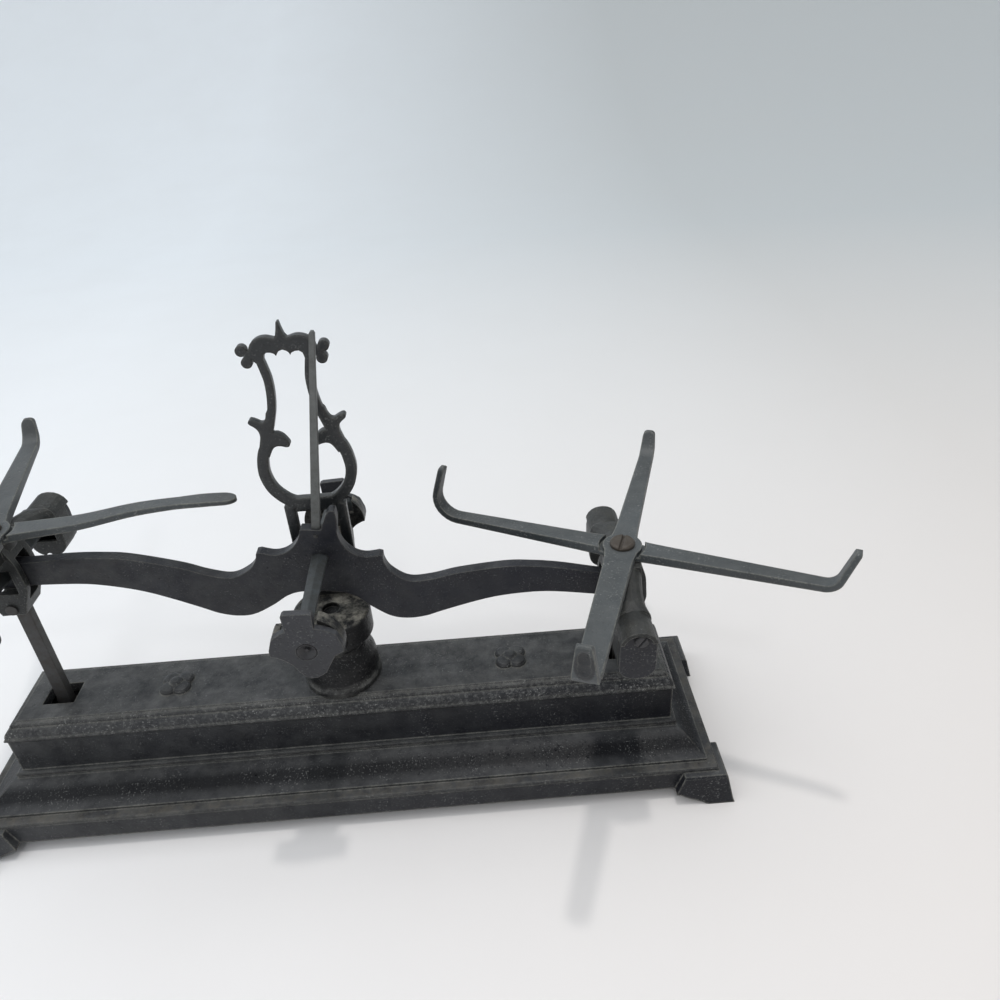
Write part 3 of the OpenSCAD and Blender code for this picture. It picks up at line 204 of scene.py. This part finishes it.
def iron(name, body, dust=(150, 151, 149), rough=0.36, gloss=0.27, film=0.05, specks=0.4, fibres=0.2, edge=0.5,
         edge_colour=(104, 103, 98), lumps=0.00012, pits=0.00018, round_edge=0.0008, flat=(0.1, 0.95), painted_left_light=0.16,
         belt=None, painted_shade_band=None, zones=(), hollows=()):
    """Old glossy black paint on cast iron: a thin film of dust, specks, fibres, pits and rubbed edges, with
    painted light and shade: highlit edges, a paler left end, darkened pits, a dark band and dark hollows.

    film, specks, fibres  how much dust of each kind lies on it
    flat                  the upward parts of the normal at which the film starts and is full
    sides                 painted light: a paler film on standing faces towards the left end
    lumps, pits           heights of the relief
    belt, bare            heights between which the casting is rough and dusty (belt), or darkened with less dust and shine as painted shade (bare)
    zones                 (low, high, amount, colour) of thicker dust between two heights
    hollows               (hub, direction in degrees, height) of the hollow in a broad tip, darkened as painted shade
    """
    g = surface(name)
    where = g.add("ShaderNodeTexCoord").outputs["Object"]
    place = g.add("ShaderNodeSeparateXYZ", Vector=where)
    height = place.outputs["Z"]
    geometry = g.add("ShaderNodeNewGeometry")
    normal = geometry.outputs["Normal"]
    soft = g.soft_normal(round_edge, 6)
    t = textures(g, where)
    in_belt = g.between(height, *belt, BELT_FADE) if belt else None

    # paint: cloudy, and darkened in the pits as painted shade
    colour = g.mix(g.ramp(t.cloud, 0.3, 0.72), shade(body, 0.82), shade(body, 1.16))
    colour = g.mix(g.times(g.ramp(t.pit, 0.2, 0.04), 0.5), colour, shade(body, 0.4))

    # a film of dust, thicker on faces that look up; standing faces are also painted paler towards the left, as
    # painted light
    up = g.ramp(g.add("ShaderNodeSeparateXYZ", Vector=normal).outputs["Z"], *flat)
    standing = g.plus(0.14, g.times(g.ramp(place.outputs["X"], RIGHT_END, LEFT_END), painted_left_light))
    lying = g.plus(g.times(up, 0.78), standing, clamp=True)
    film_and_left_light = g.plus(0.4, g.times(g.ramp(t.patch, 0.36, 0.7), 0.9))
    film_and_left_light = g.times(g.times(film_and_left_light, lying), film, clamp=True)
    shine = gloss
    # painted shade: between the heights of the bare band the colour is darkened, with less dust and less shine
    if painted_shade_band:
        in_shade_band = g.between(height, *painted_shade_band, SHADE_BAND_FADE)
        film_and_left_light = g.times(film_and_left_light, g.minus(1.0, g.times(in_shade_band, 0.85)))
        colour = g.mix(g.times(in_shade_band, 0.7), colour, shade(body, 0.55))
        shine = g.times(gloss, g.minus(1.0, g.times(in_shade_band, 0.5)))

    # specks, and short curled fibres
    dots = g.times(g.ramp(t.speck, 0.6, 0.7), g.plus(0.25, g.times(t.near, 0.75)))
    dots = g.times(dots, g.plus(specks, g.times(in_belt, 0.5)) if belt else specks, clamp=True)
    line = g.ramp(g.math("ABSOLUTE", g.minus(t.curl, 0.5)), *FIBRE_WIDTH)
    line = g.times(g.times(line, g.ramp(t.grain, 0.5, 0.6)), g.times(t.near, fibres))
    dust_and_left_light = g.most(film_and_left_light, g.most(dots, line), clamp=True)
    if belt:
        dust_and_left_light = g.most(dust_and_left_light, g.times(in_belt, g.times(g.ramp(t.grain, 0.46, 0.72), 0.34)))
    colour = g.mix(dust_and_left_light, colour, rgb(*dust))

    for low, high, amount, tint in zones:
        heap = g.ramp(g.noise(where, 150.0, 6.0, 0.75), 0.4, 0.66)
        heap = g.times(heap, g.times(lying, amount))
        colour = g.mix(g.times(g.between(height, low, high, ZONE_FADE), heap, clamp=True), colour, rgb(*tint))

    # painted shade: the hollow of each broad tip is darkened towards a dark grey
    for hub, turned, level in hollows:
        inside = hollow(g, where, height, normal, hub, turned, level)
        colour = g.mix(g.times(inside, 0.8), colour, rgb(*HOLLOW_SHADE))

    # lighter edges, where the rounded normal leaves the flat one: partly rubbed paint, partly a painted highlight
    turn = g.dot(soft, geometry.outputs["True Normal"])
    worn_and_highlit = g.times(g.ramp(turn, 0.995, 0.88), g.ramp(t.grain, 0.3, 0.56))
    worn_and_highlit = g.times(worn_and_highlit, g.plus(0.5, g.times(g.ramp(t.patch, 0.34, 0.6), 0.5)))
    colour = g.mix(g.times(worn_and_highlit, edge), colour, rgb(*edge_colour))

    # relief, from swellings to chips
    relief = g.bump(soft, t.patch, lumps * 2.0, 1.0)
    relief = g.bump(relief, t.grain, lumps, 1.0)
    relief = g.bump(relief, g.ramp(t.pit, 0.0, 0.3), pits, 0.6)
    relief = g.bump(relief, g.ramp(t.chip, 0.05, 0.16), pits * 2.0, 0.5)
    if belt:
        relief = g.bump(relief, g.noise(where, 380.0, 4.0, 0.6), BELT_RELIEF, in_belt)

    roughness = g.plus(g.times(t.cloud, 0.16), g.times(dust_and_left_light, 0.5))
    roughness = g.plus(g.plus(roughness, g.times(t.grain, 0.12)), rough - 0.14, clamp=True)
    return finish(g, Base_Color=colour, Roughness=roughness, Normal=relief, Specular_IOR_Level=shine)


def steel(name, body, stain, rough, stained):
    """Old steel: dull metal with a brown film and fine filing marks along Y."""
    g = surface(name)
    where = g.add("ShaderNodeTexCoord").outputs["Object"]
    film = g.noise(where, 330.0, 6.0, 0.65)
    fine = g.noise(where, 1800.0, 4.0, 0.6)
    stretched = g.add("ShaderNodeMapping", Vector=where, Scale=(1.0, 0.06, 1.0)).outputs[0]
    marks = g.noise(stretched, 2400.0, 3.0, 0.5)
    colour = g.mix(g.times(g.ramp(film, 0.35, 0.68), stained), rgb(*body), rgb(*stain))
    colour = g.mix(g.times(g.ramp(fine, 0.55, 0.7), 0.3), colour, shade(body, 0.6))
    relief = g.bump(g.soft_normal(0.0008, 4), marks, 0.0001, 0.4)
    relief = g.bump(relief, film, 0.00012, 0.5)
    roughness = g.plus(rough - 0.08, g.times(film, 0.2))
    return finish(g, Base_Color=colour, Roughness=roughness, Normal=relief, Metallic=0.4)


# ---------------------------------------------------------------- materials
GREY_DUST, PALE_DUST, TAN_DUST = (142, 142, 138), (134, 131, 122), (116, 109, 94)
WHOLE = (0.0, 1.0)
IRONS = {
    # base_iron: sides paints its standing faces paler to the left as painted light, and bare darkens the
    # moulding's cove as painted shade
    "base_iron": dict(
        body=(17, 19, 26), film=0.17, flat=(0.9, 0.995), painted_left_light=0.55, fibres=0.4, edge=1.0,
        edge_colour=(122, 121, 114), round_edge=0.0012, belt=(0.0445, 0.0525), painted_shade_band=(0.0188, 0.0218),
        zones=((0.016, 0.0171, 0.3, TAN_DUST), (0.0447, 0.0533, 0.15, GREY_DUST))),
    "column_iron": dict(
        body=(13, 14, 17), gloss=0.24, lumps=0.0002, pits=0.0003, edge=0.8,
        zones=((0.0, 0.059, 0.9, GREY_DUST), (0.091, 0.2, 1.0, PALE_DUST))),
    # beam_iron: sides paints its standing faces paler to the left, as painted light
    "beam_iron": dict(
        body=(16, 19, 29), film=0.1, painted_left_light=1.0, specks=0.3, edge=0.8, zones=((*WHOLE, 0.05, TAN_DUST),)),
    "lyre_iron": dict(body=(26, 29, 31), rough=0.34, gloss=0.5, film=0.1, specks=0.35, round_edge=0.0022),
    "support_iron": dict(
        body=(32, 34, 34), rough=0.46, gloss=0.34, film=0.11, lumps=0.00018, edge=0.8,
        edge_colour=(112, 112, 106), zones=((*WHOLE, 0.1, TAN_DUST),)),
    # cross_iron: hollows darkens each broad tip's hollow as painted shade
    "cross_iron": dict(
        body=(61, 65, 67), dust=(158, 158, 154), rough=0.46, gloss=0.42, film=0.1, specks=0.5, edge=0.9,
        edge_colour=(132, 132, 124), round_edge=0.0012,
        hollows=(((0.1319, 0.0), -109.3, 0.1238), ((-0.1328, 0.0), -77.8, 0.1554))),
    "cover_iron": dict(body=(46, 47, 51), rough=0.46, gloss=0.36, film=0.1, pits=0.0003, edge=0.9),
    "end_cover_iron": dict(
        body=(32, 33, 38), rough=0.46, gloss=0.3, film=0.08, pits=0.0003, edge=0.9, edge_colour=(116, 116, 112)),
}
STEELS = {
    "screw_steel": dict(body=(82, 76, 70), stain=(62, 54, 46), rough=0.5, stained=0.7),
    "dark_steel": dict(body=(64, 64, 66), stain=(46, 45, 45), rough=0.4, stained=0.6),
    "knife_steel": dict(body=(72, 76, 78), stain=(56, 54, 50), rough=0.45, stained=0.6),
    "needle_steel": dict(body=(104, 106, 105), stain=(76, 76, 72), rough=0.45, stained=0.5),
    "rod_steel": dict(body=(70, 70, 70), stain=(58, 52, 46), rough=0.5, stained=0.6),
}
# the first pattern that fits a node's name gives its material
WEARS = (
    ("base_casting", "base_iron"),
    ("column", "column_iron"),
    ("stay_bracket", "column_iron"),
    ("beam", "beam_iron"),
    ("lyre", "lyre_iron"),
    ("needle", "needle_steel"),
    ("centre_cover_screws", "dark_steel"),
    ("end_cover_screws*", "dark_steel"),
    ("end_cover*", "end_cover_iron"),
    ("*screw*", "screw_steel"),
    ("*bolt*", "screw_steel"),
    ("*knife*", "knife_steel"),
    ("*bearing*", "knife_steel"),
    ("support*", "support_iron"),
    ("cross*", "cross_iron"),
    ("*cover*", "cover_iron"),
    ("*", "rod_steel"),
)


def dress_nodes():
    """Give each CAD node its material."""
    materials = {name: iron(name, **look) for name, look in IRONS.items()}
    materials.update((name, steel(name, **look)) for name, look in STEELS.items())
    for name, obj in nodes.items():
        wears = next(material for pattern, material in WEARS if fnmatchcase(name, pattern))
        obj.data.materials.clear()
        obj.data.materials.append(materials[wears])


# ---------------------------------------------------------------- floor
FLOOR_FRONT, FLOOR_FLAT_TO, FLOOR_HALF_WIDE = -4.0, 0.9, 5.0
BEND_FROM, BEND_RADIUS, BEND_STEPS, WALL_TOP = 1.0, 1.8, 24, 4.0
# painted light: the floor's colours are brighter on the left and darker to the right, most of all far to the
# right
FLOOR_NEAR = ((242, 242, 243), (222, 215, 210))  # from left to right
FLOOR_FAR = ((238, 243, 247), (202, 206, 207))
FLOOR_SOIL = (205, 203, 200)


def sweep_mesh():
    """Flat under the scale, rising smoothly far behind it."""
    profile = [(FLOOR_FRONT, 0.0), (FLOOR_FLAT_TO, 0.0)]
    for i in range(BEND_STEPS + 1):
        a = math.radians(90.0 * i / BEND_STEPS)
        profile.append((BEND_FROM + BEND_RADIUS * math.sin(a), BEND_RADIUS * (1 - math.cos(a))))
    profile.append((BEND_FROM + BEND_RADIUS, WALL_TOP))
    verts = [(x, y, z) for y, z in profile for x in (-FLOOR_HALF_WIDE, FLOOR_HALF_WIDE)]
    faces = [(2 * i, 2 * i + 1, 2 * i + 3, 2 * i + 2) for i in range(len(profile) - 1)]
    mesh = bpy.data.meshes.new("floor")
    mesh.from_pydata(verts, [], faces)
    for face in mesh.polygons:
        face.use_smooth = True
    return mesh


def add_floor():
    """A pale floor with painted light: brighter and cooler on the left, darker and warmer to the right, and
    cooler far away.
    """
    g = surface("pale_floor")
    where = g.add("ShaderNodeTexCoord").outputs["Object"]
    axes = g.add("ShaderNodeSeparateXYZ", Vector=where)
    across = g.ramp(axes.outputs["X"], -0.35, 0.45)
    away = g.ramp(axes.outputs["Y"], -0.1, 1.0)
    near, far = (g.mix(across, rgb(*left), rgb(*right)) for left, right in (FLOOR_NEAR, FLOOR_FAR))
    soil = g.times(g.ramp(g.noise(where, 9.0, 3.0), 0.4, 0.7), 0.05)
    colour = g.mix(soil, g.mix(away, near, far), rgb(*FLOOR_SOIL))
    floor = bpy.data.objects.new("floor", sweep_mesh())
    bpy.context.scene.collection.objects.link(floor)
    floor.data.materials.append(finish(g, Base_Color=colour, Roughness=0.85, Specular_IOR_Level=0.1))


# ---------------------------------------------------------------- light
LAMPS_AIM_AT = Vector((0.0, 0.0, 0.05))
LAMPS = {
    "overhead": dict(at=(0.14, 0.045, 1.03), size=0.05, watts=1.95, tint=(1.0, 0.975, 0.95)),
    "window": dict(at=(0.05, -1.1, 1.45), size=0.16, watts=2.2, tint=(0.95, 0.975, 1.0)),
}
ROOM_COLOUR = (226, 229, 232)
BRIGHT_SIDE, CEILING = (-0.88, 0.2, 0.35), (-0.4, 0.25, 0.88)  # directions in the room


def add_lamp(name, at, size, watts, tint):
    """A small round area lamp, aimed at the scale."""
    data = bpy.data.lights.new(name, "AREA")
    data.shape, data.size, data.energy, data.color = "DISK", size, watts, tint
    lamp = bpy.data.objects.new(name, data)
    lamp.location = at
    lamp.rotation_mode = "QUATERNION"
    lamp.rotation_quaternion = (LAMPS_AIM_AT - Vector(at)).to_track_quat("-Z", "Y")
    bpy.context.scene.collection.objects.link(lamp)


def add_room():
    """A pale room: brighter on the left, darker on the right and before the scale, with a soft ceiling light."""
    world = bpy.data.worlds.new("studio")
    world.use_nodes = True
    g = Graph(world.node_tree)
    where = g.add("ShaderNodeTexCoord").outputs["Generated"]
    room = g.plus(0.42, g.times(g.ramp(g.dot(where, BRIGHT_SIDE), -0.85, 0.85), 0.7))
    ceiling = g.math("POWER", g.ramp(g.dot(where, CEILING), 0.55, 0.97), 1.5)
    strength = g.plus(room, g.times(ceiling, 1.25))
    sky = g.add("ShaderNodeBackground", Color=rgb(*ROOM_COLOUR), Strength=strength)
    g.add("ShaderNodeOutputWorld", Surface=sky.outputs[0])
    bpy.context.scene.world = world


add_camera()
dress_nodes()
add_floor()
for lamp_name, lamp_look in LAMPS.items():
    add_lamp(lamp_name, **lamp_look)
add_room()
bpy.context.scene.view_settings.view_transform = "Standard"
